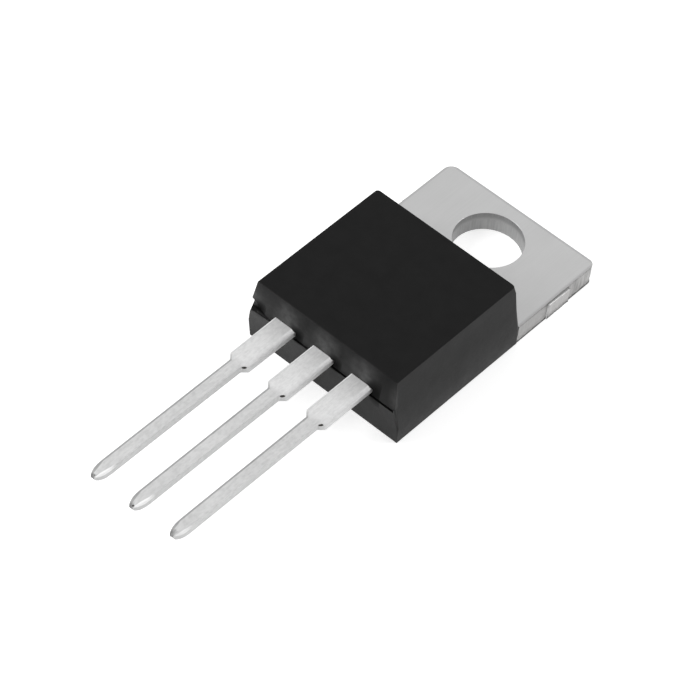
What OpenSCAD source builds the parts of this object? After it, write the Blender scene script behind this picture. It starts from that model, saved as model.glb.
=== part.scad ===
// Triac in a three-lead power package with an insulated mounting tab. Units are millimetres.
//
// Frame: the origin is the centre of the mounting hole, on the tab's back face.
// +Z points out of the moulded front, +Y points to the tab's free end, and the leads run to -Y.
// Seen from the front with the leads down, the leads are MT1, MT2 and gate from left to right.

/* [Moulded body] */
// Width at the widest line, which is level with the top of the tab
body_w = 10.05; // [8.3:0.01:12.1]
// Length at the parting lines, from the end face over the tab to the end face over the leads
body_l = 9.59; // [7.9:0.01:11.6]
// Thickness, from the tab's back face to the moulded front
body_t = 4.43; // [3.65:0.01:5.4]
// Distance from the mounting hole's centre to the moulded end face
hole_to_body = 3.41; // [2.9:0.01:4.1]
// Draft of the end faces and of the sides above the tab, in degrees
draft = 7.5; // [3:0.1:9]
// Draft of the sides below the top of the tab, in degrees
base_draft = 3.2; // [1:0.1:6]
// Height of the parting groove
seam_h = 0.18; // [0.12:0.01:0.3]
// Height of the groove's upper edge above the leads' underside
seam_up = 0.1; // [0:0.01:0.1]
// Depth of the parting groove
seam_d = 0.15; // [0.05:0.01:0.25]
// Length of the mark that the broken-off mould gate left at the corner beside the MT1 lead
gate_mark_l = 1.65; // [0.6:0.05:1.9]
// Depth of the gate mark at the corner
gate_mark_d = 0.3; // [0.2:0.01:0.5]
// Rise of the gate mark's upper edge above the parting groove, at the corner
gate_mark_up = 0.28; // [0.1:0.01:0.7]
// Drop of the gate mark's lower edge below the parting groove, at the corner
gate_mark_down = 0.1; // [0:0.01:0.3]

/* [Tab] */
// Thickness of the copper tab
tab_t = 1.27; // [1.05:0.01:1.55]
// Step from the body's widest line in to the tab's side
tab_inset = 0.09; // [0.05:0.01:0.3]
// Distance from the hole's centre to the tab's free end
tab_end = 2.74; // [2.55:0.01:3.3]
// Radius of the free corner on the MT1 side
mt1_corner_r = 0.55; // [0.2:0.01:1]
// Radius of the free corner on the gate side
gate_corner_r = 0.4; // [0.2:0.01:1]
// Diameter of the mounting hole
hole_d = 3.8; // [3.15:0.01:4.6]
// Length of the stub that is left where the strip's tie bar was sheared off
stub_l = 1.75; // [1:0.05:2.4]
// Middle of the stub, from the hole's centre towards the body
stub_back = 0.2; // [0:0.01:0.5]
// Distance that the stub stands out of the tab's side
stub_proud = 0.08; // [0.03:0.01:0.2]
// Height that the shear tore from the stub's far end; its near end lost half as much
stub_tear = 0.24; // [0.1:0.01:0.6]

/* [Tab inside the body] */
// Step from the tab's side in to the plate that the resin holds
neck_in = 0.75; // [0.4:0.01:1]
// Undercut round the plate's exposed face, which the resin grips
lip = 0.3; // [0.15:0.01:0.5]
// Height of the undercut above the back face
lip_z = 0.55; // [0.3:0.01:0.75]
// Resin between the body's lead end and the plate
plate_wall = 2.9; // [2.6:0.01:3.1]

/* [Leads] */
// Distance between the centres of neighbouring leads
lead_pitch = 2.54; // [2.1:0.01:3.05]
// Width of the solderable part of each lead
lead_w = 0.73; // [0.6:0.01:0.88]
// Width of the shoulder next to the body
shoulder_w = 1.3; // [1.05:0.01:1.55]
// Thickness of the leadframe
lead_t = 0.5; // [0.4:0.01:0.6]
// Height of the leads' underside above the back face
lead_z = 2.56; // [2.35:0.01:2.8]
// Length of each lead outside the body
lead_l = 13.4; // [11:0.1:16.1]
// Length of the shoulder outside the body
shoulder_l = 3.2; // [2.6:0.01:3.9]
// Length of the tapered tip
tip_l = 0.9; // [0.4:0.05:1.2]
// Width of the tip's end
tip_w = 0.46; // [0.2:0.01:0.5]
// Thickness of the tip's end
tip_t = 0.32; // [0.15:0.01:0.38]

/* [Insulated stack] */
// Thickness of each solder layer
solder_t = 0.06; // [0.03:0.01:0.1]
// Solder that shows all round a joint's upper piece
solder_edge = 0.1; // [0.05:0.01:0.15]
// Thickness of the ceramic insulator
ceramic_t = 0.38; // [0.25:0.01:0.5]
// Bare copper all round the ceramic's front and sides
ceramic_inset = 0.2; // [0.1:0.01:0.4]
// Resin between the ceramic and the body's end face over the tab
ceramic_wall = 0.8; // [0.5:0.01:1]
// Bare ceramic all round the copper pad
creepage = 0.4; // [0.2:0.01:0.6]
// Side of the square silicon chip
die_side = 3.2; // [2.6:0.01:3.9]
// Thickness of the chip
die_t = 0.28; // [0.2:0.01:0.35]
// Width of the passivated moat round the chip's upper edge
moat_w = 0.22; // [0.1:0.01:0.3]
// Depth of the moat
moat_d = 0.08; // [0.04:0.01:0.12]

/* [Inside ends of the leads] */
// Level stretch of the MT2 lead, from the anchors' outer edge to the bend that lowers it
lower_gap = 0.7; // [0.5:0.01:0.8]
// Length of the bend that lowers the MT2 lead to its pad
lower_l = 1.2; // [0.9:0.01:1.3]
// Resin between the body's lead end and the wide anchors
anchor_wall = 0.9; // [0.6:0.01:1.1]
// Length of the anchors along the leads
anchor_l = 1.5; // [1.3:0.01:1.6]
// Resin between an anchor and the side of the body
anchor_side = 0.75; // [0.5:0.01:0.8]
// Resin between the anchors and the centre lead
anchor_gap = 0.45; // [0.35:0.01:0.6]
// Diameter of the lock hole in each anchor
lock_d = 0.9; // [0.5:0.01:1]
// Width of the MT1 finger
mt1_w = 1.4; // [1.3:0.01:1.7]
// Width of the gate finger
gate_w = 0.8; // [0.65:0.01:0.9]
// Diameter of the MT1 finger's contact dimple
mt1_dimple_d = 1.1; // [0.8:0.01:1.2]
// Diameter of the gate finger's contact dimple
gate_dimple_d = 0.5; // [0.3:0.01:0.55]
// Height of both dimples, which keeps the fingers clear of the chip's edge
dimple_h = 0.2; // [0.15:0.01:0.3]
// Level stretch between an anchor and the bend that raises its finger
raise_gap = 0.18; // [0.05:0.01:0.3]
// Length of the bend that raises a finger
raise_l = 0.7; // [0.4:0.01:0.8]
// Length of each finger past its dimple
finger_past = 0.3; // [0.15:0.01:0.5]
// MT1 contact, to the left of the chip's centre
mt1_left = 0.5; // [0.4:0.01:0.6]
// MT1 contact, from the chip's centre towards the tab
mt1_back = 0.3; // [0:0.01:0.5]
// Gate contact, in from the chip's two edges at its front right corner
gate_in = 0.65; // [0.6:0.01:0.75]

/* [Hidden] */
$fn = 96;

// Room added where one shape cuts through another
over = 1;

// Ends and widths of the body
end_y = -hole_to_body;
front_y = end_y - body_l;
top_w = body_w - 2 * (body_t - tab_t) * tan(draft);
base_w = body_w - 2 * tab_t * tan(base_draft);
seam_z = lead_z + seam_up;

// Tab
tab_w = body_w - 2 * tab_inset;
plate_w = tab_w - 2 * neck_in;
plate_y = front_y + plate_wall;

// Leads
lead_top = lead_z + lead_t;
tip_y = front_y - lead_l;
shoulder_y = front_y - shoulder_l;
dam_cut = (shoulder_w - lead_w) / 2;

// Stack, from the tab up to the fingers' dimples
ceramic_z = tab_t + solder_t;
pad_z = ceramic_z + ceramic_t + solder_t;
die_z = pad_z + lead_t + solder_t;
contact_z = die_z + die_t + solder_t;
finger_z = contact_z + dimple_h;

// Ceramic and pad in plan
ceramic_w = plate_w - 2 * ceramic_inset;
ceramic_y0 = plate_y + ceramic_inset;
ceramic_y1 = end_y - ceramic_wall;
pad_w = ceramic_w - 2 * creepage;
pad_y0 = ceramic_y0 + creepage;
pad_y1 = ceramic_y1 - creepage;
die_y = (pad_y0 + pad_y1) / 2;

// Contacts on the chip
mt1_x = -mt1_left;
mt1_y = die_y + mt1_back;
gate_x = die_side / 2 - gate_in;
gate_y = die_y - die_side / 2 + gate_in;

// Anchors
anchor_y0 = front_y + anchor_wall;
anchor_y1 = anchor_y0 + anchor_l;
anchor_x0 = shoulder_w / 2 + anchor_gap;
anchor_x1 = body_w / 2 - (lead_top - tab_t) * tan(draft) - anchor_side;

// A block with a given middle and width across X
module block(w, y0, y1, z0, h) {
    translate([-w / 2, y0, z0]) cube([w, y1 - y0, h]);
}

// A side view, drawn as [y, z] points, given a width across X
module across(w, side_view) {
    translate([-w / 2, 0, 0])
        rotate([90, 0, 90])
            linear_extrude(height = w) polygon(side_view);
}

// A view from the leads, drawn as [x, z] points, over the whole length of the body
module along(front_view) {
    translate([0, end_y + over, 0])
        rotate([90, 0, 0])
            linear_extrude(height = body_l + 2 * over) polygon(front_view);
}

// ---- Moulded body ----

// Outer form: the side view and the end view, each with its own draft, cut each other
module body_form() {
    slope = tan(draft);
    end_over = (body_t - tab_t) * slope;
    front_over = (body_t - seam_z) * slope;
    side_view = [
        [end_y, 0],
        [end_y, tab_t],
        [end_y - end_over, body_t],
        [front_y + front_over, body_t],
        [front_y, seam_z],
        [front_y + seam_d, seam_z],
        [front_y + seam_h * slope, seam_z - seam_h],
        [front_y + seam_z * slope, 0]
    ];
    end_view = [
        [-base_w / 2, 0],
        [base_w / 2, 0],
        [body_w / 2, tab_t],
        [top_w / 2, body_t],
        [-top_w / 2, body_t],
        [-body_w / 2, tab_t]
    ];
    intersection() {
        across(body_w, side_view);
        along(end_view);
    }
}

// Wedge that broke away with the mould's gate: in plan and from the front it narrows to the groove
module gate_mark() {
    corner_x = -body_w / 2 + (seam_z - tab_t) * tan(draft);
    plan = [
        [corner_x - over, front_y - over],
        [corner_x + gate_mark_l, front_y - over],
        [corner_x + gate_mark_l, front_y],
        [corner_x, front_y + gate_mark_d],
        [corner_x - over, front_y + gate_mark_d]
    ];
    front_view = [
        [corner_x - over, seam_z - seam_h - gate_mark_down],
        [corner_x, seam_z - seam_h - gate_mark_down],
        [corner_x + gate_mark_l, seam_z - seam_h],
        [corner_x + gate_mark_l, seam_z],
        [corner_x, seam_z + gate_mark_up],
        [corner_x - over, seam_z + gate_mark_up]
    ];
    intersection() {
        linear_extrude(height = body_t) polygon(plan);
        along(front_view);
    }
}

module mould_body() {
    color("dimgray")
        difference() {
            body_form();
            gate_mark();
            heatsink_tab();
            tab_solder();
            ceramic_insulator();
            pad_solder();
            mt2_lead();
            die_solder();
            triac_chip();
            mt1_solder();
            gate_solder();
            mt1_lead();
            gate_lead();
        }
}

// ---- Tab ----

// What a free corner loses to its radius
module corner_waste(r) {
    translate([tab_w / 2 - r, tab_end - r, -over])
        difference() {
            cube([r + over, r + over, tab_t + 2 * over]);
            cylinder(r = r, h = tab_t + 2 * over);
        }
}

// Stub of the tie bar, torn away towards the tab's free end
module tie_stub() {
    near_y = -stub_back - stub_l / 2;
    far_y = -stub_back + stub_l / 2;
    side_view = [
        [near_y, 0],
        [far_y, 0],
        [far_y, tab_t - stub_tear],
        [near_y, tab_t - stub_tear / 2]
    ];
    across(tab_w + 2 * stub_proud, side_view);
}

module heatsink_tab() {
    color("silver")
        difference() {
            union() {
                block(tab_w, end_y, tab_end, 0, tab_t);
                block(plate_w, plate_y, end_y, lip_z, tab_t - lip_z);
                block(plate_w - 2 * lip, plate_y + lip, end_y, 0, tab_t);
                tie_stub();
            }
            corner_waste(gate_corner_r);
            mirror([1, 0, 0]) corner_waste(mt1_corner_r);
            translate([0, 0, -over]) cylinder(d = hole_d, h = tab_t + 2 * over);
        }
}

// ---- Insulated stack ----

module tab_solder() {
    color("lightgray")
        block(ceramic_w, ceramic_y0, ceramic_y1, tab_t, solder_t);
}

module ceramic_insulator() {
    color("white")
        block(ceramic_w, ceramic_y0, ceramic_y1, ceramic_z, ceramic_t);
}

module pad_solder() {
    color("lightgray")
        block(pad_w + 2 * solder_edge, pad_y0 - solder_edge, pad_y1 + solder_edge,
            pad_z - solder_t, solder_t);
}

module die_solder() {
    half = die_side / 2 + solder_edge;
    color("lightgray")
        block(2 * half, die_y - half, die_y + half, die_z - solder_t, solder_t);
}

module triac_chip() {
    half = die_side / 2;
    mesa = half - moat_w;
    color("slategray")
        union() {
            block(2 * half, die_y - half, die_y + half, die_z, die_t - moat_d);
            block(2 * mesa, die_y - mesa, die_y + mesa, die_z, die_t);
        }
}

// Solder between the chip and one finger's dimple
module contact_solder(x, y, dimple_d) {
    color("lightgray")
        translate([x, y, contact_z - solder_t])
            cylinder(d = dimple_d + 2 * solder_edge, h = solder_t);
}

module mt1_solder() {
    contact_solder(mt1_x, mt1_y, mt1_dimple_d);
}

module gate_solder() {
    contact_solder(gate_x, gate_y, gate_dimple_d);
}

// ---- Leads ----

// A strip of leadframe: its outline in plan, and a side view that bends it.
// The side view's points are the underside, from the tip inwards.
module strip(plan, underside) {
    top = [for (i = [len(underside) - 1:-1:1]) underside[i] + [0, lead_t]];
    tip_mid = lead_z + lead_t / 2;
    coined = [
        [tip_y + tip_l, lead_top],
        [tip_y, tip_mid + tip_t / 2],
        [tip_y, tip_mid - tip_t / 2]
    ];
    intersection() {
        linear_extrude(height = body_t) polygon(plan);
        across(2 * body_w, concat(underside, top, coined));
    }
}

// The left and right edges of a lead outside the body, about its own middle
function outer_edge(side) = [
    [side * tip_w / 2, tip_y],
    [side * lead_w / 2, tip_y + tip_l],
    [side * lead_w / 2, shoulder_y - dam_cut],
    [side * shoulder_w / 2, shoulder_y]
];

function backwards(points) = [for (i = [len(points) - 1:-1:0]) points[i]];

function shifted(points, x) = [for (p = points) p + [x, 0]];

module mt2_lead() {
    left = concat(outer_edge(-1), [
        [-shoulder_w / 2, pad_y0],
        [-pad_w / 2, pad_y0],
        [-pad_w / 2, pad_y1]
    ]);
    right = [for (p = left) [-p[0], p[1]]];
    lower_y = anchor_y0 + lower_gap;
    underside = [
        [tip_y + tip_l, lead_z],
        [lower_y, lead_z],
        [lower_y + lower_l, pad_z],
        [pad_y1, pad_z]
    ];
    color("lightsteelblue") strip(concat(left, backwards(right)), underside);
}

// An outer lead: shoulder, anchor with its lock hole, and a finger that is raised over the chip.
// side is -1 for the left lead and 1 for the right one, and inwards is the opposite.
module outer_lead(side, finger_w, contact_x, contact_y, dimple_d) {
    raise_y0 = anchor_y1 + raise_gap;
    raise_y1 = raise_y0 + raise_l;
    root_in = side * anchor_x0;
    root_out = side * (anchor_x0 + finger_w);
    edge_in = contact_x - side * finger_w / 2;
    edge_out = contact_x + side * finger_w / 2;
    shift = abs(root_in - edge_in);
    tongue_y = contact_y + dimple_d / 2 + finger_past;
    inner = concat(shifted(outer_edge(-side), side * lead_pitch), [
        [side * (lead_pitch - shoulder_w / 2), anchor_y0],
        [root_in, anchor_y0],
        [root_in, raise_y0],
        [edge_in, raise_y0 + shift],
        [edge_in, tongue_y]
    ]);
    outer = concat(shifted(outer_edge(side), side * lead_pitch), [
        [side * (lead_pitch + shoulder_w / 2), anchor_y0],
        [side * anchor_x1, anchor_y0],
        [side * anchor_x1, anchor_y1],
        [root_out, anchor_y1],
        [root_out, raise_y0],
        [edge_out, raise_y0 + shift],
        [edge_out, tongue_y]
    ]);
    underside = [
        [tip_y + tip_l, lead_z],
        [raise_y0, lead_z],
        [raise_y1, finger_z],
        [tongue_y, finger_z]
    ];
    lock = [side * (anchor_x0 + anchor_x1) / 2, (anchor_y0 + anchor_y1) / 2, 0];
    color("lightsteelblue")
        difference() {
            union() {
                strip(concat(inner, backwards(outer)), underside);
                translate([contact_x, contact_y, contact_z])
                    cylinder(d = dimple_d, h = dimple_h + lead_t / 2);
            }
            translate([contact_x, contact_y, finger_z + lead_t - dimple_h])
                cylinder(d = dimple_d, h = over);
            translate(lock) cylinder(d = lock_d, h = body_t);
        }
}

module mt1_lead() {
    outer_lead(-1, mt1_w, mt1_x, mt1_y, mt1_dimple_d);
}

module gate_lead() {
    outer_lead(1, gate_w, gate_x, gate_y, gate_dimple_d);
}

mould_body();
heatsink_tab();
tab_solder();
ceramic_insulator();
pad_solder();
mt2_lead();
die_solder();
triac_chip();
mt1_solder();
gate_solder();
mt1_lead();
gate_lead();
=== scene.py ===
import random
from math import radians, tan

import bmesh
import bpy
from mathutils import Matrix, Vector


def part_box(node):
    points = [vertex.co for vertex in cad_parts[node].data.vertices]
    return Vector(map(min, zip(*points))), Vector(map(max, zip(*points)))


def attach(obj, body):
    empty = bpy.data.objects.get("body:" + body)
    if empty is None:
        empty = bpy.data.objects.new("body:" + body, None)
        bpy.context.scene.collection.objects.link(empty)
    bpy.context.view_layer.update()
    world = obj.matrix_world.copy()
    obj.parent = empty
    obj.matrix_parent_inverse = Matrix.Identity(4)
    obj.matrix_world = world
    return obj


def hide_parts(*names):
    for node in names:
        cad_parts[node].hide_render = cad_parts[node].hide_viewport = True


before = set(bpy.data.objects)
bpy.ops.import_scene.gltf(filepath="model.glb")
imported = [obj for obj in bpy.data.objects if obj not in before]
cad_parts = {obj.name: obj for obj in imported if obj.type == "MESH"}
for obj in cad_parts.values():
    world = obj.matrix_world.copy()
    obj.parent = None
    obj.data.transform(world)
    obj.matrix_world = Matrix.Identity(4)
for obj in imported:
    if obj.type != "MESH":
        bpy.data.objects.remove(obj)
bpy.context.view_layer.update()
mm = 0.001


# ---- Cooling tab ----
# The tab is thick copper strip, stamped to shape and plated with nickel.
# Its top edge is drawn in by the punch, the rest of the cut is sheared and then broken,
# and a short stub on each side is what was left of the tie bar.

tab_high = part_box("heatsink_tab")[1]
tab_end_y, tab_thickness = tab_high.y, tab_high.z
tab_half_width = 4.935 * mm
body_low, body_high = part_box("mould_body")
body_back_y = body_high.y
stub_far_y = 0.675 * mm
within_hole = 2 * mm
past_hole = 2.2 * mm
punch_side_radius = 0.075 * mm
burr_side_radius = 0.03 * mm
hole_rim_radius = 0.02 * mm
drag_line_step = 0.07 * mm
straight_side_y = (body_back_y + 0.05 * mm, tab_end_y - 0.6 * mm)
straight_end_x = (-4.3 * mm, 4.5 * mm)
sliced_z = (0.24 * mm, 1.0 * mm)


def merged_copy(node):
    """A CAD node's shape with its loose triangles joined into whole flat faces."""
    shape = bmesh.new()
    shape.from_mesh(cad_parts[node].data)
    bmesh.ops.remove_doubles(shape, verts=shape.verts, dist=1e-7)
    bmesh.ops.dissolve_limit(shape, angle_limit=radians(0.5), verts=shape.verts, edges=shape.edges)
    return shape


def round_edges(shape, radius, segments, chosen):
    """Rounds every edge of the shape for which chosen(edge, middle) is true."""
    picked = [e for e in shape.edges if len(e.link_faces) == 2
              and e.calc_face_angle(0) > radians(15)
              and chosen(e, (e.verts[0].co + e.verts[1].co) / 2)]
    bmesh.ops.bevel(shape, geom=picked, offset=radius, offset_type="OFFSET", segments=segments,
                    profile=0.5, affect="EDGES", clamp_overlap=True)


def slice_faces(shape, chosen, axis, start, stop, step):
    """Cuts the faces for which chosen(face) is true by planes across an axis."""
    across = Vector([float(i == axis) for i in range(3)])
    place = start
    while place < stop:
        faces = [f for f in shape.faces if chosen(f)]
        parts = set(faces)
        for f in faces:
            parts.update(f.edges, f.verts)
        bmesh.ops.bisect_plane(shape, geom=list(parts), plane_co=across * place, plane_no=across,
                               dist=1e-8)
        place += step


def add(tree, kind, sockets=None, **settings):
    """Adds a node, with its settings, and with its sockets either linked or given values."""
    node = tree.nodes.new(kind)
    for key, value in settings.items():
        setattr(node, key, value)
    for key, value in (sockets or {}).items():
        if isinstance(value, bpy.types.NodeSocket):
            tree.links.new(value, node.inputs[key])
        else:
            node.inputs[key].default_value = value
    return node


def calc(tree, operation, *values):
    """Adds a math node of either kind of tree and gives its result."""
    return add(tree, "ShaderNodeMath", dict(enumerate(values)), operation=operation).outputs[0]


def new_finish(name, colour, roughness, metallic=0.0, specular=0.5):
    """A material with its shader's plain values on the shader's own sockets."""
    finish = bpy.data.materials.new(name)
    finish.use_nodes = True
    shader = finish.node_tree.nodes["Principled BSDF"]
    shader.inputs["Base Color"].default_value = (*colour, 1)
    shader.inputs["Roughness"].default_value = roughness
    shader.inputs["Metallic"].default_value = metallic
    shader.inputs["Specular IOR Level"].default_value = specular
    return finish, finish.node_tree, shader


def grain(tree, size, stretch=(1, 1, 1), detail=3.0, offset=(0, 0, 0)):
    """Cloudy noise in object coordinates, with grains of a size in metres, drawn out by stretch."""
    place = add(tree, "ShaderNodeTexCoord").outputs["Object"]
    scale = tuple(1 / (size * s) for s in stretch)
    laid = add(tree, "ShaderNodeMapping", {"Vector": place, "Scale": scale, "Location": offset})
    return add(tree, "ShaderNodeTexNoise", {"Vector": laid.outputs[0], "Scale": 1.0,
                                            "Detail": detail}).outputs["Fac"]


def place_on_piece(tree):
    """Where a point lies on its piece, as separate X, Y and Z."""
    place = add(tree, "ShaderNodeTexCoord").outputs["Object"]
    return add(tree, "ShaderNodeSeparateXYZ", {0: place}).outputs


def between(tree, factor, low, high, start=0.3, end=0.7):
    """Turns a factor that runs from start to end into a value from low to high."""
    sockets = {"Value": factor, "From Min": start, "From Max": end, "To Min": low, "To Max": high}
    return add(tree, "ShaderNodeMapRange", sockets).outputs["Result"]


def greys(tree, value, warmth=0.0):
    """A colour from one brightness, a little warm above zero and a little cold below."""
    red = calc(tree, "MULTIPLY", value, 1 + warmth)
    blue = calc(tree, "MULTIPLY", value, 1 - warmth)
    return add(tree, "ShaderNodeCombineColor", {0: red, 1: value, 2: blue}).outputs[0]


def bumps(tree, shader, height, depth, under=None):
    """Raises the surface by a height from 0 to 1, over any bumps under it."""
    sockets = {"Height": height, "Distance": depth, "Strength": 1.0}
    if under is not None:
        sockets["Normal"] = under
    raised = add(tree, "ShaderNodeBump", sockets).outputs["Normal"]
    tree.links.new(raised, shader.inputs["Normal"])
    return raised


# Satin nickel: rolling lines along the strip, a faint cloudiness in its gloss, and painted shade
# in a narrow band along the outline where the edge rolls over
plate_finish, tree, shader = new_finish("nickel_plate", (0.56, 0.56, 0.56), 0.38, metallic=0.8)
rolling = grain(tree, 0.05 * mm, stretch=(1, 40, 1), detail=4)
cloud = grain(tree, 1.6 * mm, detail=2, offset=(3, 5, 1))
brightness = calc(tree, "ADD", between(tree, rolling, -0.012, 0.012),
                  between(tree, cloud, 0.515, 0.53))
spots = place_on_piece(tree)
from_edge = calc(tree, "MINIMUM", calc(tree, "SUBTRACT", tab_end_y, spots["Y"]),
                 calc(tree, "SUBTRACT", tab_half_width, calc(tree, "ABSOLUTE", spots["X"])))
# Painted shade: the top darkens in a narrow band along the outline, where the rounded edge begins
edge_roll_shade = between(tree, from_edge, 0.82, 1.0, 0.06 * mm, 0.17 * mm)
shade = calc(tree, "MULTIPLY", brightness, edge_roll_shade)
tree.links.new(greys(tree, shade), shader.inputs["Base Color"])
gloss = calc(tree, "ADD", between(tree, rolling, -0.02, 0.02), between(tree, cloud, 0.35, 0.42))
tree.links.new(gloss, shader.inputs["Roughness"])
bumps(tree, shader, rolling, 0.0006 * mm)

# The cut: a burnished band with drag lines down it, a torn band below, a darker band along the
# bottom on the burr side, and painted shade along the rounded top edge
cut_finish, tree, shader = new_finish("sheared_edge", (0.42, 0.42, 0.42), 0.4, metallic=0.9)
spots = place_on_piece(tree)
drag = grain(tree, 0.06 * mm, stretch=(1, 1, 18), detail=3)
stripe = grain(tree, 0.2 * mm, stretch=(1, 1, 9), detail=2, offset=(4, 1, 2))
torn = grain(tree, 0.09 * mm, detail=5)
past_stub = between(tree, spots["Y"], 0, 1, stub_far_y, stub_far_y + 0.1 * mm)
striped = calc(tree, "MULTIPLY", past_stub, between(tree, stripe, -0.13, 0.08))
edge_of_band = calc(tree, "ADD", spots["Z"], between(tree, drag, -0.1 * mm, 0.1 * mm))
band = between(tree, edge_of_band, 1.0, 0.0, start=0.2 * mm, end=0.4 * mm)
proud = between(tree, calc(tree, "ABSOLUTE", spots["X"]), 0.0, 0.07,
                tab_half_width + 0.01 * mm, tab_half_width + 0.03 * mm)
burnished = calc(tree, "ADD", calc(tree, "ADD", between(tree, drag, 0.3, 0.38), proud), striped)
broken = between(tree, torn, 0.26, 0.4)
mixed = add(tree, "ShaderNodeMix", {"Factor": band, "A": burnished, "B": broken}, data_type="FLOAT")
# Painted shade: the cut darkens over its top tenth of a millimetre, on and under the rolled-over
# edge
shade_under_top_edge = between(tree, spots["Z"], 1.0, 0.72, tab_thickness - 0.15 * mm,
                     tab_thickness - 0.1 * mm)
# The cut is darker along its bottom edge, in a ragged band
darker_bottom_edge = calc(tree, "ADD", spots["Z"], between(tree, torn, -0.05 * mm, 0.05 * mm))
darker_bottom = between(tree, darker_bottom_edge, 0.3, 1.0, 0.08 * mm, 0.14 * mm)
shade = calc(tree, "MULTIPLY", calc(tree, "MULTIPLY", mixed.outputs["Result"], shade_under_top_edge), darker_bottom)
tree.links.new(greys(tree, shade, 0.01), shader.inputs["Base Color"])
tree.links.new(between(tree, band, 0.4, 0.55, 0, 1), shader.inputs["Roughness"])
first = bumps(tree, shader, drag, 0.004 * mm)
bumps(tree, shader, calc(tree, "MULTIPLY", torn, band), 0.006 * mm, first)

# The hole's wall is not plated over again after piercing, so it is darker, most of all
# under the rim; its left side is darker still as painted shade. The stub's narrow torn faces
# take this finish too, a little lighter: torn metal, and painted shade that outlines the stub.
hole_finish, tree, shader = new_finish("pierced_wall", (0.3, 0.3, 0.3), 0.5, metallic=0.9)
spots = place_on_piece(tree)
drag = grain(tree, 0.1 * mm, stretch=(1, 1, 14), detail=3)
edge_of_band = calc(tree, "ADD", spots["Z"], between(tree, drag, -0.08 * mm, 0.08 * mm))
# Painted shade: the wall is darker on its left side
shaded_left_wall = between(tree, spots["X"], 0.82, 1.0, -1.7 * mm, -0.6 * mm)
# The stub's narrow faces, whose dark finish is partly painted shade, are made lighter here
on_stub = between(tree, calc(tree, "ABSOLUTE", spots["X"]), 1.0, 1.45, 4.5 * mm, 4.9 * mm)
shade = calc(tree, "MULTIPLY", between(tree, edge_of_band, 0.36, 0.27, 0.8 * mm, 1.0 * mm),
             between(tree, drag, 0.9, 1.1))
shade = calc(tree, "MULTIPLY", shade, calc(tree, "MULTIPLY", shaded_left_wall, on_stub))
tree.links.new(greys(tree, shade), shader.inputs["Base Color"])
bumps(tree, shader, drag, 0.004 * mm)

# Shape: the cut faces are sliced into narrow columns, the outline is rounded over them
tab_shape = merged_copy("heatsink_tab")
tab_shape.normal_update()


def is_outside(middle):
    """Whether a place is clear of the body and of the hole."""
    return middle.y > body_back_y + 0.01 * mm and middle.xy.length > past_hole


def is_cut_face(face):
    return is_outside(face.calc_center_median()) and abs(face.normal.z) < 0.1


def is_side(face):
    return is_cut_face(face) and abs(face.normal.x) > 0.9


def is_end(face):
    return is_cut_face(face) and face.normal.y > 0.9


slice_faces(tab_shape, is_side, 1, *straight_side_y, drag_line_step)
slice_faces(tab_shape, is_end, 0, *straight_end_x, drag_line_step)


def outline_at(z):
    """Chooses the edges of the tab's outline at a height."""
    def chosen(edge, middle):
        level = all(abs(v.co.z - z) < 1e-6 for v in edge.verts)
        return level and middle.y > body_back_y + 1e-6 and middle.xy.length > past_hole
    return chosen


def hole_rim_at(z):
    """Chooses the edges of the hole's rim at a height."""
    def chosen(edge, middle):
        return all(abs(v.co.z - z) < 1e-6 for v in edge.verts) and middle.xy.length < within_hole
    return chosen


round_edges(tab_shape, punch_side_radius, 4, outline_at(tab_thickness))
round_edges(tab_shape, burr_side_radius, 2, outline_at(0))
round_edges(tab_shape, hole_rim_radius, 3, hole_rim_at(tab_thickness))
round_edges(tab_shape, burr_side_radius, 2, hole_rim_at(0))
slice_faces(tab_shape, is_cut_face, 2, *sliced_z, 0.12 * mm)

mark = tab_shape.verts.layers.float.new("cut_face")
for face in tab_shape.faces:
    middle = face.calc_center_median()
    hole_wall = middle.xy.length < within_hole and abs(face.normal.z) < 0.1
    # The stub's narrow faces take the darker wall finish: torn metal, and painted shade that
    # outlines the stub
    torn_and_shaded_stub_edge = abs(middle.x) > tab_half_width + 0.002 * mm and abs(face.normal.x) < 0.7
    rolled_over = (is_outside(middle) and abs(face.normal.z) < 0.97
                   and abs(middle.x) < tab_half_width)
    face.material_index = (2 if hole_wall or torn_and_shaded_stub_edge
                           else 1 if is_cut_face(face) or rolled_over else 0)
    if is_cut_face(face):
        for vertex in face.verts:
            vertex[mark] = 1.0


def new_tree(name, inputs):
    """A Geometry Nodes tree with its named inputs, and its input and output nodes."""
    tree = bpy.data.node_groups.new(name, "GeometryNodeTree")
    tree.interface.new_socket("Geometry", in_out="OUTPUT", socket_type="NodeSocketGeometry")
    for label, kind in inputs:
        tree.interface.new_socket(label, in_out="INPUT", socket_type="NodeSocket" + kind)
    return tree, tree.nodes.new("NodeGroupInput"), tree.nodes.new("NodeGroupOutput")


def keep_result(piece):
    """Makes what the piece's modifiers give its own plain mesh, and takes them off."""
    bpy.context.view_layer.update()
    graph = bpy.context.evaluated_depsgraph_get()
    result = bpy.data.meshes.new_from_object(piece.evaluated_get(graph))
    piece.modifiers.clear()
    piece.data = result


def run_tree(piece, tree, values):
    """Runs a tree on a piece with the values given by the inputs' names, and keeps the result."""
    modifier = piece.modifiers.new(tree.name, "NODES")
    modifier.node_group = tree
    for socket in tree.interface.items_tree:
        if socket.in_out == "INPUT" and socket.name in values:
            modifier[socket.identifier] = values[socket.name]
    keep_result(piece)


def new_piece(name, shape, *finishes):
    """An object made from a bmesh, with its materials."""
    shape.normal_update()
    mesh = bpy.data.meshes.new(name)
    shape.to_mesh(mesh)
    shape.free()
    for finish in finishes:
        mesh.materials.append(finish)
    piece = bpy.data.objects.new(name, mesh)
    bpy.context.scene.collection.objects.link(piece)
    return piece


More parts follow.
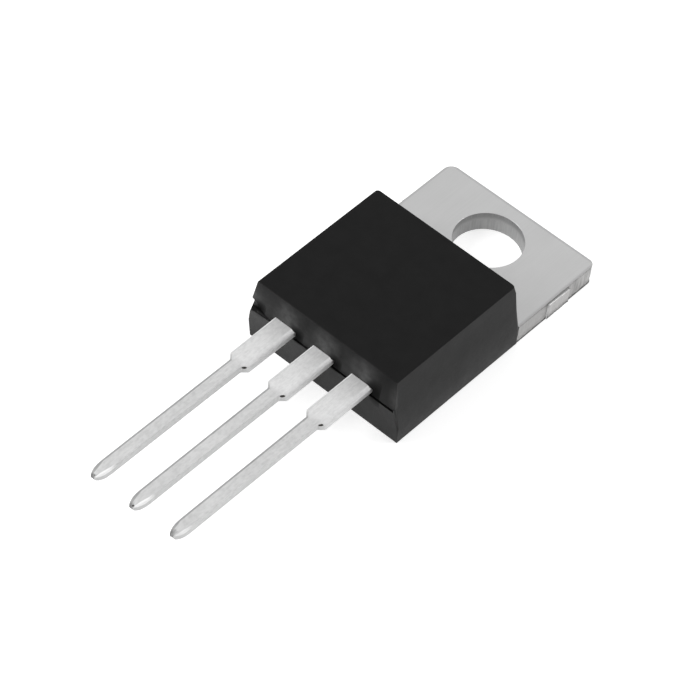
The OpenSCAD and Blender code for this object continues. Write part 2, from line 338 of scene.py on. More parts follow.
def smooth_faces(piece, angle=30):
    """Shades the rounded edges smooth and keeps the flat faces flat."""
    piece.data.shade_smooth()
    piece.data.set_sharp_from_angle(angle=radians(angle))
    weighted = piece.modifiers.new("flat faces", "WEIGHTED_NORMAL")
    weighted.keep_sharp = True
    weighted.weight = 100
    keep_result(piece)
    piece.data.name = piece.name


# The drag lines: the cut faces move in and out by noise that is drawn out down the cut
stretched_down = 0.06
tear_raggedness = 0.5 * mm
tear_fade = 0.12 * mm
tree, given, out = new_tree("drag lines", [
    ("Geometry", "Geometry"), ("Line spacing", "Float"), ("Line depth", "Float"),
    ("Tear depth", "Float"), ("Tear height", "Float"), ("Seed", "Int")])
cut_face = add(tree, "GeometryNodeInputNamedAttribute", {"Name": "cut_face"}, data_type="FLOAT")
where = add(tree, "ShaderNodeSeparateXYZ",
            {0: tree.nodes.new("GeometryNodeInputPosition").outputs[0]})
fine = calc(tree, "DIVIDE", 1.0, given.outputs["Line spacing"])
drawn_out = add(tree, "ShaderNodeCombineXYZ", {
    0: calc(tree, "MULTIPLY", where.outputs[0], fine),
    1: calc(tree, "MULTIPLY", where.outputs[1], fine),
    2: calc(tree, "MULTIPLY", calc(tree, "MULTIPLY", where.outputs[2], fine), stretched_down)})
lines = add(tree, "ShaderNodeTexNoise", {
    "Vector": drawn_out.outputs[0], "W": given.outputs["Seed"], "Scale": 1.0, "Detail": 2.0},
    noise_dimensions="4D").outputs["Fac"]
ragged = calc(tree, "MULTIPLY", calc(tree, "SUBTRACT", lines, 0.5), tear_raggedness)
below = add(tree, "ShaderNodeMapRange", {
    "Value": calc(tree, "ADD", where.outputs[2], ragged),
    "From Min": given.outputs["Tear height"],
    "From Max": calc(tree, "ADD", given.outputs["Tear height"], tear_fade),
    "To Min": 1.0, "To Max": 0.0})
inwards = calc(tree, "ADD",
               calc(tree, "MULTIPLY", lines, given.outputs["Line depth"]),
               calc(tree, "MULTIPLY", below.outputs["Result"], given.outputs["Tear depth"]))
amount = calc(tree, "MULTIPLY", calc(tree, "MULTIPLY", inwards, cut_face.outputs[0]), -1.0)
shift = add(tree, "ShaderNodeVectorMath",
            {0: tree.nodes.new("GeometryNodeInputNormal").outputs[0], "Scale": amount},
            operation="SCALE")
moved = add(tree, "GeometryNodeSetPosition",
            {"Geometry": given.outputs["Geometry"], "Offset": shift.outputs[0]})
realised = add(tree, "GeometryNodeRealizeInstances", {0: moved.outputs[0]})
index = tree.nodes.new("GeometryNodeInputMaterialIndex").outputs[0]
is_plate = add(tree, "FunctionNodeCompare", {"A": index, "B": 0}, data_type="INT",
               operation="EQUAL")
coated = add(tree, "GeometryNodeSetMaterial", {"Geometry": realised.outputs[0],
                                               "Selection": is_plate.outputs[0],
                                               "Material": plate_finish})
tree.links.new(coated.outputs[0], out.inputs[0])
drag_lines = tree

tab = new_piece("cooling_tab", tab_shape, plate_finish, cut_finish, hole_finish)
run_tree(tab, drag_lines, {"Line spacing": 0.11 * mm, "Line depth": 0.022 * mm,
                           "Tear depth": 0.025 * mm, "Tear height": 0.36 * mm, "Seed": 4})
smooth_faces(tab)
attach(tab, "root")
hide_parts("heatsink_tab")


# ---- Solder layers ----
# Five thin layers of high-lead solder: tab to ceramic, ceramic to pad, pad to chip,
# and chip to each finger. Each froze from a preform in the furnace, dull and coarse grained.

solder_finish, tree, shader = new_finish("dull_solder", (0.5, 0.5, 0.5), 0.45, metallic=1.0)
place = add(tree, "ShaderNodeTexCoord").outputs["Object"]
crystals = add(tree, "ShaderNodeTexVoronoi", {"Vector": place, "Scale": 1 / (0.25 * mm)})
shade = add(tree, "ShaderNodeSeparateColor", {0: crystals.outputs["Color"]}).outputs[0]
tree.links.new(greys(tree, between(tree, shade, 0.44, 0.56, 0, 1), -0.01),
               shader.inputs["Base Color"])
tree.links.new(between(tree, shade, 0.38, 0.52, 0, 1), shader.inputs["Roughness"])
bumps(tree, shader, crystals.outputs["Distance"], 0.002 * mm)


def refinish(node, finish):
    """Gives a CAD node that stays as it is a better material."""
    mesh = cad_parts[node].data
    mesh.materials.clear()
    mesh.materials.append(finish)


for node in ("tab_solder", "pad_solder", "die_solder", "mt1_solder", "gate_solder"):
    refinish(node, solder_finish)


# ---- Ceramic ----
# A tile of white alumina, metallised on both faces, keeps the tab apart from the circuit.
# It is sawn from a larger tile, so its sides are matt and faintly speckled.

ceramic_finish, tree, shader = new_finish("alumina", (0.85, 0.84, 0.82), 0.55)
speckle = grain(tree, 0.03 * mm, detail=4)
tree.links.new(greys(tree, between(tree, speckle, 0.8, 0.88), 0.015), shader.inputs["Base Color"])
bumps(tree, shader, speckle, 0.002 * mm)
refinish("ceramic_insulator", ceramic_finish)


# ---- Chip ----
# The silicon chip has a flat mesa with metal contacts, and a moat etched round it
# that is filled with greenish passivation glass.

chip_finish, tree, shader = new_finish("silicon_and_glass", (0.07, 0.075, 0.09), 0.18)
chip_low, chip_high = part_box("triac_chip")
chip_middle = (chip_low + chip_high) / 2
mesa_half = 1.38 * mm
place = add(tree, "ShaderNodeTexCoord").outputs["Object"]
off_centre = add(tree, "ShaderNodeVectorMath", {0: place, 1: tuple(chip_middle)},
                 operation="SUBTRACT")
apart = add(tree, "ShaderNodeSeparateXYZ", {0: off_centre.outputs[0]})
outwards = calc(tree, "MAXIMUM", calc(tree, "ABSOLUTE", apart.outputs[0]),
                calc(tree, "ABSOLUTE", apart.outputs[1]))
glassy = between(tree, outwards, 0, 1, mesa_half, mesa_half + 0.02 * mm)
lapped = between(tree, grain(tree, 0.02 * mm), 0.92, 1.06)
silicon_grey, glass_green = (0.07, 0.075, 0.09), (0.09, 0.16, 0.11)
colour = add(tree, "ShaderNodeCombineColor", {
    i: calc(tree, "MULTIPLY", between(tree, glassy, silicon_grey[i], glass_green[i], 0, 1), lapped)
    for i in range(3)})
tree.links.new(colour.outputs[0], shader.inputs["Base Color"])
tree.links.new(between(tree, glassy, 0.22, 0.1, 0, 1), shader.inputs["Roughness"])
refinish("triac_chip", chip_finish)


# ---- Leads ----
# Three leads stamped from one copper strip and tinned. The strip's own bar between them was
# cropped at 45 degrees, which left a small torn hollow, and the tips were coined to a taper.
# Inside the body the middle one widens to the chip's pad and the outer two to their anchors.

lead_y = {"inside": -12.3 * mm, "shoulder": -16.2 * mm, "tip": -26.4 * mm}
lead_z = 2.56 * mm
lead_thickness = 0.5 * mm
lead_pitch = 2.54 * mm
lead_width, shoulder_width = 0.73 * mm, 1.3 * mm
tip_length = 0.9 * mm
right_lead_shortfall = 0.12 * mm
points_per_corner = 5


def from_own_lead(tree, x):
    """How far a place lies to the right of the middle of the lead nearest to it."""
    shifted = calc(tree, "ADD", calc(tree, "DIVIDE", x, lead_pitch), 0.5)
    part = calc(tree, "SUBTRACT", shifted, calc(tree, "FLOOR", shifted))
    return calc(tree, "MULTIPLY", calc(tree, "SUBTRACT", part, 0.5), lead_pitch)


# Tin: drawn lines and smudges; painted shade as a dark line along the rolled-over left edge and
# at the tip's cut end; a painted highlight on the coined facet at the tip; and the shoulder
# painted lighter than the narrow part, as painted light
tin_finish, tree, shader = new_finish("bright_tin", (0.8, 0.8, 0.8), 0.45, metallic=0.2)
drawn = grain(tree, 0.04 * mm, stretch=(1, 30, 1), detail=4)
smudge = grain(tree, 1.1 * mm, stretch=(1, 2, 1), detail=3, offset=(2, 7, 4))
spots = place_on_piece(tree)
on_shoulder = between(tree, spots["Y"], 0, 1, lead_y["shoulder"] - 0.35 * mm, lead_y["shoulder"])
# Painted light: the tin's tone is lighter on the shoulder than on the narrow part
tin_tone_lit_on_shoulder = between(tree, on_shoulder, 0.61, 0.73, 0, 1)
half = calc(tree, "ADD",
            between(tree, spots["Y"], 0.2 * mm, lead_width / 2, lead_y["tip"] + 0.05 * mm,
                    lead_y["tip"] + tip_length),
            calc(tree, "MULTIPLY", on_shoulder, (shoulder_width - lead_width) / 2))
own_x = from_own_lead(tree, spots["X"])
# Painted shade: a dark line along the rolled-over left edge of the top, weaker on the shoulder
line = between(tree, calc(tree, "ADD", own_x, half), 0.0, 1.0, 0.09 * mm, 0.15 * mm)
line = calc(tree, "MAXIMUM", line, between(tree, on_shoulder, 0.56, 0.88, 0, 1))
from_right = calc(tree, "SUBTRACT", half, own_x)
# Painted highlight: a bright glint on the coined facet at the tip's upper right, fainter on the
# right lead
facet = calc(tree, "MULTIPLY", between(tree, from_right, 1.0, 0.0, 0.07 * mm, 0.1 * mm),
             between(tree, spots["Y"], 1.0, 0.0, lead_y["tip"] + 0.7 * mm,
                     lead_y["tip"] + 1.25 * mm))
facet = calc(tree, "MULTIPLY", facet, between(tree, spots["Z"], 0.0, 1.0, lead_z + 0.32 * mm,
                                              lead_z + 0.37 * mm))
on_right_lead = between(tree, spots["X"], 0.0, 1.0, 1.2 * mm, 1.3 * mm)
facet = calc(tree, "MULTIPLY", facet, between(tree, on_right_lead, 0.4, 0.24, 0, 1))
flecks = grain(tree, 0.12 * mm, stretch=(1, 2, 1), detail=5, offset=(5, 2, 8))
mottle = calc(tree, "ADD", calc(tree, "ADD", between(tree, drawn, -0.03, 0.03),
                                between(tree, smudge, -0.025, 0.025)),
              between(tree, flecks, -0.06, 0.03, 0.3, 0.6))
brightness = calc(tree, "MULTIPLY", calc(tree, "ADD", mottle, tin_tone_lit_on_shoulder), line)
brightness = calc(tree, "MINIMUM", calc(tree, "ADD", brightness, facet), 0.97)
# Painted shade at the tip's cut end, on its left and middle
end_y = between(tree, on_right_lead, lead_y["tip"], lead_y["tip"] + right_lead_shortfall, 0, 1)
from_end = calc(tree, "SUBTRACT", spots["Y"], end_y)
from_end = calc(tree, "MULTIPLY", from_end, between(tree, on_right_lead, 1.0, 0.45, 0, 1))
from_end = calc(tree, "ADD", from_end, between(tree, flecks, -0.03 * mm, 0.03 * mm, 0.3, 0.6))
clear_of_tip_end_shade = calc(tree, "MAXIMUM", between(tree, from_end, 0.32, 1.0, 0.03 * mm, 0.15 * mm),
                   between(tree, own_x, 0.0, 1.0, 0.0, 0.11 * mm))
brightness = calc(tree, "MULTIPLY", brightness, clear_of_tip_end_shade)
tree.links.new(greys(tree, brightness), shader.inputs["Base Color"])
gloss = calc(tree, "ADD", between(tree, drawn, -0.02, 0.02), between(tree, smudge, 0.44, 0.54))
tree.links.new(gloss, shader.inputs["Roughness"])
first = bumps(tree, shader, drawn, 0.0008 * mm)
bumps(tree, shader, grain(tree, 0.12 * mm, detail=2), 0.0012 * mm, first)

# Bare copper in the tears: dark in the hollow of the crop, smeared with tin at the tip
torn_finish, tree, shader = new_finish("torn_copper", (0.05, 0.04, 0.035), 0.7, metallic=0.4)
rough = grain(tree, 0.03 * mm, detail=5)
along = place_on_piece(tree)["Y"]
smeared = between(tree, along, 0.1, 0.0, lead_y["tip"] + 0.4 * mm, lead_y["tip"] + 1.4 * mm)
shade = calc(tree, "ADD", between(tree, rough, 0.02, 0.07), smeared)
tree.links.new(greys(tree, shade, 0.1), shader.inputs["Base Color"])
bumps(tree, shader, rough, 0.006 * mm)


def pick(tree, index, values):
    """Gives the value at an index, out of plain values and sockets."""
    node = add(tree, "GeometryNodeIndexSwitch", data_type="FLOAT")
    for _ in values[2:]:
        node.index_switch_items.new()
    tree.links.new(index, node.inputs[0])
    for socket, value in zip(list(node.inputs)[1:], values):
        if isinstance(value, bpy.types.NodeSocket):
            tree.links.new(value, socket)
        else:
            socket.default_value = value
    return node.outputs[0]


def numbered_tube(tree, rings):
    """A closed tube of rings whose points know their ring and their spot on it."""
    index = tree.nodes.new("GeometryNodeInputIndex").outputs[0]
    line = add(tree, "GeometryNodeMeshLine", {"Count": rings, "Offset": (0, 0, mm)})
    ringed = add(tree, "GeometryNodeStoreNamedAttribute",
                 {"Geometry": line.outputs[0], "Name": "ring", "Value": index}, data_type="INT")
    spine = add(tree, "GeometryNodeMeshToCurve", {0: ringed.outputs[0]})
    loop = add(tree, "GeometryNodeCurvePrimitiveCircle",
               {"Resolution": 4 * points_per_corner, "Radius": mm})
    spotted = add(tree, "GeometryNodeStoreNamedAttribute",
                  {"Geometry": loop.outputs[0], "Name": "spot", "Value": index}, data_type="INT")
    tube = add(tree, "GeometryNodeCurveToMesh", {"Curve": spine.outputs[0],
                                                 "Profile Curve": spotted.outputs[0],
                                                 "Fill Caps": True})
    ring, spot = (add(tree, "GeometryNodeInputNamedAttribute", {"Name": name},
                      data_type="INT").outputs[0] for name in ("ring", "spot"))
    return tube.outputs[0], ring, spot


def rounded_section(tree, spot, left, right, low, high, radii):
    """Where a spot lies on a rectangle with its four corners rounded: upper right first,
    then upper left, lower left and lower right."""
    corner = calc(tree, "FLOOR", calc(tree, "DIVIDE", calc(tree, "ADD", spot, 0.5),
                                      points_per_corner))
    step = calc(tree, "SUBTRACT", spot, calc(tree, "MULTIPLY", corner, points_per_corner))
    turned = calc(tree, "ADD", corner, calc(tree, "DIVIDE", step, points_per_corner - 1))
    angle = calc(tree, "MULTIPLY", turned, radians(90))
    radius = pick(tree, corner, radii)
    minus = [calc(tree, "MULTIPLY", r, -1) for r in radii]
    across = pick(tree, corner, [calc(tree, "ADD", right, minus[0]),
                                 calc(tree, "ADD", left, radii[1]),
                                 calc(tree, "ADD", left, radii[2]),
                                 calc(tree, "ADD", right, minus[3])])
    upward = pick(tree, corner, [calc(tree, "ADD", high, minus[0]),
                                 calc(tree, "ADD", high, minus[1]),
                                 calc(tree, "ADD", low, radii[2]),
                                 calc(tree, "ADD", low, radii[3])])
    across = calc(tree, "ADD", across, calc(tree, "MULTIPLY", radius, calc(tree, "COSINE", angle)))
    upward = calc(tree, "ADD", upward, calc(tree, "MULTIPLY", radius, calc(tree, "SINE", angle)))
    return across, upward


# The stamped lead: eleven sections from inside the body to the tip, the tear marks cut out of it,
# and the piece that comes in, the lead's inner end, joined on
tree, given, out = new_tree("stamped lead", [
    ("Inner end", "Geometry"), ("Middle", "Float"), ("Lead width", "Float"),
    ("Shoulder width", "Float"), ("Inside", "Float"), ("Shoulder end", "Float"),
    ("Tip end", "Float"), ("Tip length", "Float"), ("Tip width", "Float"),
    ("Tip thickness", "Float"), ("Underside", "Float"), ("Thickness", "Float"),
    ("Shoulder right radius", "Float"), ("Right edge radius", "Float"),
    ("Left edge radius", "Float"), ("Lower edge radius", "Float"), ("Tip facet", "Float"),
    ("Tears", "Int"), ("Tear size", "Float"), ("Seed", "Int"), ("Tin", "Material"),
    ("Torn", "Material")])
g = given.outputs
tube, ring, spot = numbered_tube(tree, 11)
half_shoulder = calc(tree, "MULTIPLY", g["Shoulder width"], 0.5)
half_lead = calc(tree, "MULTIPLY", g["Lead width"], 0.5)
half_tip = calc(tree, "MULTIPLY", g["Tip width"], 0.5)
half_thick = calc(tree, "MULTIPLY", g["Thickness"], 0.5)
half_coined = calc(tree, "MULTIPLY", g["Tip thickness"], 0.5)
crop = calc(tree, "SUBTRACT", half_shoulder, half_lead)
crop_end = calc(tree, "SUBTRACT", g["Shoulder end"], crop)
ease = 0.03 * mm
tip_places = (1.0, 0.67, 0.39, 0.17, 0.045, 0.0)
tip_swells = (1.0, 0.9, 0.63, 0.15, -0.3, -0.6)
along = pick(tree, ring, [
    g["Inside"], calc(tree, "ADD", g["Shoulder end"], ease),
    calc(tree, "SUBTRACT", g["Shoulder end"], ease), calc(tree, "ADD", crop_end, ease),
    calc(tree, "SUBTRACT", crop_end, ease)] + [
    calc(tree, "ADD", g["Tip end"], calc(tree, "MULTIPLY", g["Tip length"], place))
    for place in tip_places])


def tip_rounding(full, coined):
    """Half a lead's width or thickness at each of the tip's six sections."""
    more = calc(tree, "SUBTRACT", full, coined)
    return [calc(tree, "ADD", coined, calc(tree, "MULTIPLY", more, swell)) for swell in tip_swells]


half_width = pick(tree, ring, [
    half_shoulder, half_shoulder, calc(tree, "SUBTRACT", half_shoulder, ease),
    calc(tree, "ADD", half_lead, ease), half_lead] + tip_rounding(half_lead, half_tip))
thick = pick(tree, ring, [half_thick] * 5 + tip_rounding(half_thick, half_coined))
middle_z = calc(tree, "ADD", g["Underside"], half_thick)
facet_more = calc(tree, "SUBTRACT", g["Tip facet"], g["Right edge radius"])
facet_grown = [calc(tree, "ADD", g["Right edge radius"], calc(tree, "MULTIPLY", facet_more, share))
               for share in (0.0, 0.45, 0.85, 1.0, 0.8, 0.55)]
right_radius = pick(tree, ring, [g["Shoulder right radius"]] * 3 + [g["Right edge radius"]] * 2
                    + facet_grown)
left_radius = pick(tree, ring, [g["Left edge radius"]] * 9 + [
    calc(tree, "MULTIPLY", g["Left edge radius"], share) for share in (0.8, 0.6)])
across, upward = rounded_section(
    tree, spot, calc(tree, "SUBTRACT", g["Middle"], half_width),
    calc(tree, "ADD", g["Middle"], half_width), calc(tree, "SUBTRACT", middle_z, thick),
    calc(tree, "ADD", middle_z, thick),
    [right_radius, left_radius, g["Lower edge radius"], g["Lower edge radius"]])
shaped = add(tree, "GeometryNodeSetPosition", {
    "Geometry": tube,
    "Position": add(tree, "ShaderNodeCombineXYZ", {0: across, 1: along, 2: upward}).outputs[0]})
tinned = add(tree, "GeometryNodeSetMaterial", {"Geometry": shaped.outputs[0], "Material": g["Tin"]})
whole = add(tree, "GeometryNodeMeshBoolean", operation="UNION", solver="MANIFOLD")
tree.links.new(g["Inner end"], whole.inputs["Mesh 2"])
tree.links.new(tinned.outputs[0], whole.inputs["Mesh 2"])

pebble = add(tree, "GeometryNodeMeshIcoSphere", {"Radius": g["Tear size"], "Subdivisions": 3})
lumps = add(tree, "ShaderNodeTexNoise", {
    "Vector": tree.nodes.new("GeometryNodeInputPosition").outputs[0],
    "W": g["Seed"], "Scale": 1 / (0.08 * mm), "Detail": 2.0}, noise_dimensions="4D")
swell = add(tree, "ShaderNodeVectorMath", {
    0: tree.nodes.new("GeometryNodeInputNormal").outputs[0],
    "Scale": calc(tree, "MULTIPLY", calc(tree, "SUBTRACT", lumps.outputs["Fac"], 0.5),
                  g["Tear size"])}, operation="SCALE")
lumpy = add(tree, "GeometryNodeSetPosition",
            {"Geometry": pebble.outputs[0], "Offset": swell.outputs[0]})
dark = add(tree, "GeometryNodeSetMaterial", {"Geometry": lumpy.outputs[0], "Material": g["Torn"]})
# The tears: one at the shoulder's crop, one on the tip's end, and on one lead a second there
across_crop = 0.62
marks = add(tree, "GeometryNodeMeshLine", {"Count": g["Tears"], "Offset": (0, 0, 0)})
mark_index = tree.nodes.new("GeometryNodeInputIndex").outputs[0]
mark_place = add(tree, "ShaderNodeCombineXYZ", {
    0: calc(tree, "ADD", g["Middle"], pick(tree, mark_index, [
        calc(tree, "SUBTRACT", half_shoulder, calc(tree, "MULTIPLY", crop, across_crop)),
        0.04 * mm, 0.02 * mm])),
    1: pick(tree, mark_index, [
        calc(tree, "SUBTRACT", g["Shoulder end"], calc(tree, "MULTIPLY", crop, across_crop)),
        calc(tree, "ADD", g["Tip end"], 0.1 * mm), calc(tree, "ADD", g["Tip end"], 0.02 * mm)]),
    2: calc(tree, "ADD", middle_z, pick(tree, mark_index, [0.13 * mm, 0.06 * mm, -0.12 * mm]))})
mark_turn = add(tree, "ShaderNodeCombineXYZ", {2: pick(tree, mark_index, [radians(-45), 0.0, 0.0])})
mark_scale = add(tree, "ShaderNodeCombineXYZ", {
    0: pick(tree, mark_index, [0.55, 1.1, 1.2]), 1: pick(tree, mark_index, [1.5, 1.1, 0.7]),
    2: pick(tree, mark_index, [0.85, 1.0, 0.7])})
marked = add(tree, "GeometryNodeSetPosition",
             {"Geometry": marks.outputs[0], "Position": mark_place.outputs[0]})
scattered = add(tree, "GeometryNodeInstanceOnPoints", {
    "Points": marked.outputs[0], "Instance": dark.outputs[0],
    "Rotation": mark_turn.outputs[0], "Scale": mark_scale.outputs[0]})
tears = add(tree, "GeometryNodeRealizeInstances", {0: scattered.outputs[0]})
torn = add(tree, "GeometryNodeMeshBoolean", {"Mesh 1": whole.outputs["Mesh"],
                                             "Mesh 2": tears.outputs[0]},
           operation="DIFFERENCE", solver="MANIFOLD")
realised = add(tree, "GeometryNodeRealizeInstances", {0: torn.outputs["Mesh"]})
index = tree.nodes.new("GeometryNodeInputMaterialIndex").outputs[0]
not_torn = add(tree, "FunctionNodeCompare", {"A": index, "B": 0}, data_type="INT",
               operation="EQUAL")
coated = add(tree, "GeometryNodeSetMaterial", {"Geometry": realised.outputs[0],
                                               "Selection": not_torn.outputs[0],
                                               "Material": g["Tin"]})
tree.links.new(coated.outputs[0], out.inputs[0])
stamped_lead = tree


def inner_end(node):
    """The part of a lead's CAD shape that the body hides, closed where it is cut."""
    shape = merged_copy(node)
    cut_y = lead_y["inside"] - 0.2 * mm
    parts = list(shape.verts) + list(shape.edges) + list(shape.faces)
    bmesh.ops.bisect_plane(shape, geom=parts, plane_co=(0, cut_y, 0), plane_no=(0, -1, 0),
                           clear_outer=True, dist=1e-8)
    bmesh.ops.holes_fill(shape, edges=[e for e in shape.edges if e.is_boundary])
    return shape


leads = []
for name, node, middle, shortfall, tears, seed in (
        ("left_lead", "mt1_lead", -lead_pitch, 0.0, 2, 3),
        ("middle_lead", "mt2_lead", 0.0, 0.0, 2, 8),
        ("right_lead", "gate_lead", lead_pitch, right_lead_shortfall, 3, 13)):
    lead = new_piece(name, inner_end(node), tin_finish, torn_finish)
    run_tree(lead, stamped_lead, {
        "Middle": middle, "Lead width": lead_width, "Shoulder width": shoulder_width,
        "Inside": lead_y["inside"], "Shoulder end": lead_y["shoulder"],
        "Tip end": lead_y["tip"] + shortfall, "Tip length": tip_length,
        "Tip width": 0.46 * mm, "Tip thickness": 0.32 * mm, "Underside": lead_z,
        "Thickness": lead_thickness, "Shoulder right radius": 0.23 * mm,
        "Right edge radius": 0.05 * mm, "Left edge radius": 0.1 * mm,
        "Lower edge radius": 0.03 * mm, "Tip facet": 0.15 * mm,
        "Tears": tears, "Tear size": 0.09 * mm, "Seed": seed, "Tin": tin_finish,
        "Torn": torn_finish})
    smooth_faces(lead)
    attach(lead, "root")
    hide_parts(node)
    leads.append(lead)


# ---- Moulded body ----
# Black epoxy moulding compound, pressed round the tab, the stack and the leads in a two-part
# steel mould. Its faces lean in by the mould's draft, a groove marks where the halves met under
# the leads, and a ragged notch at the left corner is where the gate broke off.

body_width, body_height = body_high.x - body_low.x, body_high.z
body_front_y = body_low.y
widest_z = 1.27 * mm
parting_z = 2.66 * mm
draft, base_draft = radians(7.5), radians(3.2)
crown_height = 0.5 * mm
groove_size = (0.3 * mm, 0.23 * mm)
groove_ends = (-5.4 * mm, 4.72 * mm)
slit_size = (0.2, 0.45, 0.56)
slit_place = (0.67 * mm, -12.975 * mm, 2.72 * mm)
clear_y = -13.4 * mm


def distance_of(tree, across, along):
    """The length of a line that goes this far across and this far along."""
    squares = calc(tree, "ADD", calc(tree, "MULTIPLY", across, across),
                   calc(tree, "MULTIPLY", along, along))
    return calc(tree, "SQRT", squares)


# Epoxy: black and cloudy. On the front painted shade lies to the right of each lead and painted
# light reflected up from the lead lies above it, and the lower half is paler to the left
epoxy_finish, tree, shader = new_finish("moulding_compound", (0.0045, 0.0045, 0.0045), 0.45,
                                        specular=0.132)
spots = place_on_piece(tree)
fine_grain = grain(tree, 0.05 * mm, detail=4)
patches = grain(tree, 0.9 * mm, detail=4, offset=(1, 2, 3))
blotches = grain(tree, 0.35 * mm, detail=4, offset=(4, 1, 2))
own_x = from_own_lead(tree, spots["X"])
on_front = between(tree, spots["Y"], 1, 0, body_front_y + 0.1 * mm, body_front_y + 0.3 * mm)
# Painted shade to the right of each lead on the front, wider on the right lead
lead_shadow_aside = calc(tree, "SUBTRACT", own_x, 0.85 * mm)
lead_shadow_aloft = calc(tree, "SUBTRACT", spots["Z"], parting_z + 0.19 * mm)
lead_shadow_reach = between(tree, spots["X"], 1.0, 1.7, 2.8 * mm, 3.6 * mm)
from_lead_shadow = calc(tree, "DIVIDE", distance_of(tree, lead_shadow_aside, lead_shadow_aloft), lead_shadow_reach)
free_of_lead_shadow = calc(tree, "MAXIMUM", between(tree, from_lead_shadow, 0.0, 1.0, 0.12 * mm, 0.62 * mm),
                    calc(tree, "SUBTRACT", 1.0, on_front))
# Painted light reflected up from each lead, above it on the front, fainter to the right
reflected_light_aside = calc(tree, "MULTIPLY", calc(tree, "SUBTRACT", own_x, 0.12 * mm), 0.8)
reflected_light_aloft = calc(tree, "MULTIPLY",
                   calc(tree, "SUBTRACT", spots["Z"], parting_z + 0.84 * mm), 0.55)
from_reflected_light = distance_of(tree, reflected_light_aside, reflected_light_aloft)
upper_reflected_light = calc(tree, "ADD", between(tree, from_reflected_light, 0.064, 0.013, 0.12 * mm, 0.8 * mm),
                   between(tree, spots["X"], 0.0, -0.012, 3.0 * mm, 4.0 * mm))
upper_reflected_light = calc(tree, "MULTIPLY", calc(tree, "MAXIMUM", upper_reflected_light, 0.0),
                   between(tree, spots["Z"], 0.0, 1.0, parting_z + 0.04 * mm,
                           parting_z + 0.24 * mm))
# The lower half of the front is paler towards the left
paler_lower_left = calc(tree, "MULTIPLY",
                   between(tree, spots["X"], 0.022, 0.0, -4.5 * mm, 0.5 * mm),
                   between(tree, spots["Z"], 1.0, 0.0, parting_z - 0.16 * mm,
                           parting_z - 0.11 * mm))
mottle = calc(tree, "MULTIPLY", between(tree, patches, 0.7, 1.3),
              between(tree, blotches, 0.65, 1.35))
reflected_light_and_paling = calc(tree, "MULTIPLY", calc(tree, "ADD", upper_reflected_light, paler_lower_left), mottle)
reflected_light_and_paling = calc(tree, "MULTIPLY", reflected_light_and_paling, calc(tree, "MULTIPLY", on_front, free_of_lead_shadow))
shade = calc(tree, "ADD", between(tree, fine_grain, -0.0008, 0.0008),
             calc(tree, "ADD", between(tree, patches, 0.0018, 0.004), reflected_light_and_paling))
# Painted shade darkens the colour to the right of each lead
shade = calc(tree, "MULTIPLY", shade, free_of_lead_shadow)
tree.links.new(greys(tree, shade), shader.inputs["Base Color"])
gloss = calc(tree, "ADD", between(tree, fine_grain, -0.05, 0.05),
             between(tree, patches, 0.39, 0.47))
gloss = calc(tree, "ADD", gloss, between(tree, free_of_lead_shadow, 0.5, 0.0, 0, 1))
tree.links.new(gloss, shader.inputs["Roughness"])
first = bumps(tree, shader, fine_grain, 0.0016 * mm)
bumps(tree, shader, grain(tree, 0.25 * mm, detail=3), 0.004 * mm, first)

# Broken or cut epoxy is coarse and takes no shine
broken_finish, tree, shader = new_finish("broken_epoxy", (0.008, 0.008, 0.008), 0.95,
                                         specular=0.0)
rough = grain(tree, 0.05 * mm, detail=5)
tree.links.new(greys(tree, between(tree, rough, 0.005, 0.013)), shader.inputs["Base Color"])
bumps(tree, shader, rough, 0.008 * mm)

# The mould's form: eleven sections from the base to the top, each a rounded rectangle
tree, given, out = new_tree("moulded form", [
    ("Geometry", "Geometry"), ("Width", "Float"), ("Height", "Float"), ("Front", "Float"),
    ("Back", "Float"), ("Widest at", "Float"), ("Parting line", "Float"),
    ("Draft", "Float"), ("Base draft", "Float"), ("Top edge radius", "Float"),
    ("Base edge radius", "Float"), ("Upper corner radius", "Float"),
    ("Lower corner radius", "Float"), ("Back corner radius", "Float"),
    ("Epoxy", "Material")])
g = given.outputs
tube, ring, spot = numbered_tube(tree, 11)
base_r, top_r = g["Base edge radius"], g["Top edge radius"]
crown_start = calc(tree, "SUBTRACT", g["Height"], crown_height)
crown_middle = calc(tree, "SUBTRACT", g["Height"], crown_height / 2)
up = pick(tree, ring, [
    0.0, calc(tree, "MULTIPLY", base_r, 0.3), base_r, g["Widest at"], g["Parting line"],
    calc(tree, "ADD", g["Parting line"], 0.02 * mm), crown_start, crown_middle,
    calc(tree, "SUBTRACT", g["Height"], top_r),
    calc(tree, "SUBTRACT", g["Height"], calc(tree, "MULTIPLY", top_r, 0.3)), g["Height"]])
inset = pick(tree, ring, [base_r, calc(tree, "MULTIPLY", base_r, 0.3), 0.0, 0.0, 0.0, 0.0, 0.0,
                          0.0, 0.0, calc(tree, "MULTIPLY", top_r, 0.3), top_r])
slope = calc(tree, "TANGENT", g["Draft"])
base_slope = calc(tree, "TANGENT", g["Base draft"])
above = calc(tree, "MAXIMUM", calc(tree, "SUBTRACT", up, g["Widest at"]), 0.0)
beneath = calc(tree, "MAXIMUM", calc(tree, "SUBTRACT", g["Widest at"], up), 0.0)
lean = calc(tree, "ADD", calc(tree, "MULTIPLY", above, slope),
            calc(tree, "MULTIPLY", beneath, base_slope))
half = calc(tree, "SUBTRACT",
            calc(tree, "SUBTRACT", calc(tree, "MULTIPLY", g["Width"], 0.5), lean), inset)
from_parting = calc(tree, "ABSOLUTE", calc(tree, "SUBTRACT", up, g["Parting line"]))
front_lean = calc(tree, "MULTIPLY", from_parting, slope)
front = calc(tree, "ADD", calc(tree, "ADD", g["Front"], front_lean), inset)
rear_lean = calc(tree, "MULTIPLY", above, slope)
rear = calc(tree, "SUBTRACT", calc(tree, "SUBTRACT", g["Back"], rear_lean), inset)
upper = calc(tree, "GREATER_THAN", ring, 4.5)
